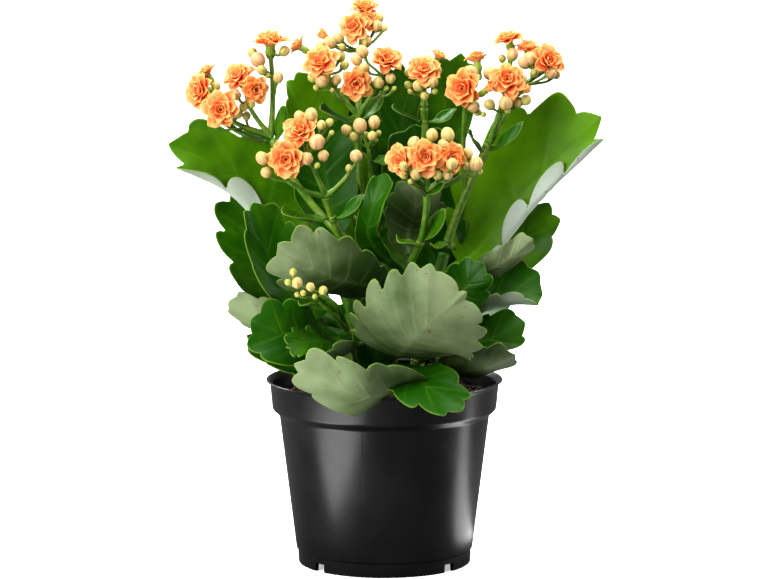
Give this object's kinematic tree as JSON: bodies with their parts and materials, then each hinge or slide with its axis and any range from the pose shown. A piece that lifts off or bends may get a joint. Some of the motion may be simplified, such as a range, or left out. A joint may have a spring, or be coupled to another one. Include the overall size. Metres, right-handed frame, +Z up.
{
  "type": "potted kalanchoe",
  "caption": "Flowering kalanchoe in a black nursery pot: broad scalloped fleshy leaves under clusters of double peach-orange flowers and round buds.",
  "frame": {"origin": "on the pot's axis at the level of the surface that the pot stands on, which is also the middle of the plant's spread", "axes": "+Z up along the pot's axis, -Y towards the plant's showier side, +X to the right seen from there"},
  "size_m": [0.217, 0.1575, 0.2855],
  "materials": {
    "pot": "injection-moulded black polypropylene with a satin sheen and faint mould lines",
    "soil": "moist potting compost with bark crumbs and peat fibres",
    "stem": "smooth fresh green stem, slightly waxy",
    "leaf": "waxy fleshy leaf, bright green above, pale grey-green underneath, thin light margin",
    "flower": "matt double petals, coral heart to peach-yellow edges, with cream to yellow-green buds"
  },
  "bodies": {
    "root": {"pot": "pot", "soil": "soil", "flower_stem_centre": "stem", "flower_stem_front": "stem", "flower_stem_left": "stem", "flower_stem_middle": "stem", "flower_stem_rear": "stem", "flower_stem_rear_left": "stem", "flower_stem_rear_right": "stem", "flower_stem_right": "stem", "flower_stem_top": "stem", "main_stem_back": "stem", "main_stem_centre": "stem", "main_stem_left": "stem", "main_stem_right": "stem", "leaf_back_centre": "leaf", "leaf_back_left": "leaf", "leaf_back_mid": "leaf", "leaf_back_right": "leaf", "leaf_centre_dark": "leaf", "leaf_fan": "leaf", "leaf_front_left": "leaf", "leaf_front_right": "leaf", "leaf_inner_left": "leaf", "leaf_inner_low": "leaf", "leaf_inner_right": "leaf", "leaf_left_high": "leaf", "leaf_left_inner": "leaf", "leaf_left_low": "leaf", "leaf_left_pale": "leaf", "leaf_left_side": "leaf", "leaf_left_under": "leaf", "leaf_rear_left": "leaf", "leaf_rear_low": "leaf", "leaf_rear_mid": "leaf", "leaf_rear_right": "leaf", "leaf_rear_tall": "leaf", "leaf_right_big": "leaf", "leaf_right_bottom": "leaf", "leaf_right_cupped": "leaf", "leaf_right_low": "leaf", "leaf_right_mid": "leaf", "leaf_right_outer": "leaf", "leaf_right_round": "leaf", "leaf_serrated": "leaf", "leaf_small_pale": "leaf", "leaf_spoon": "leaf", "leaf_upright": "leaf", "flower_head_bud": "flower", "flower_head_centre": "flower", "flower_head_front": "flower", "flower_head_left": "flower", "flower_head_middle": "flower", "flower_head_rear": "flower", "flower_head_rear_left": "flower", "flower_head_rear_right": "flower", "flower_head_right": "flower", "flower_head_right_inner": "flower", "flower_head_top": "flower", "flower_head_young": "flower"}
  },
  "joints": []
}
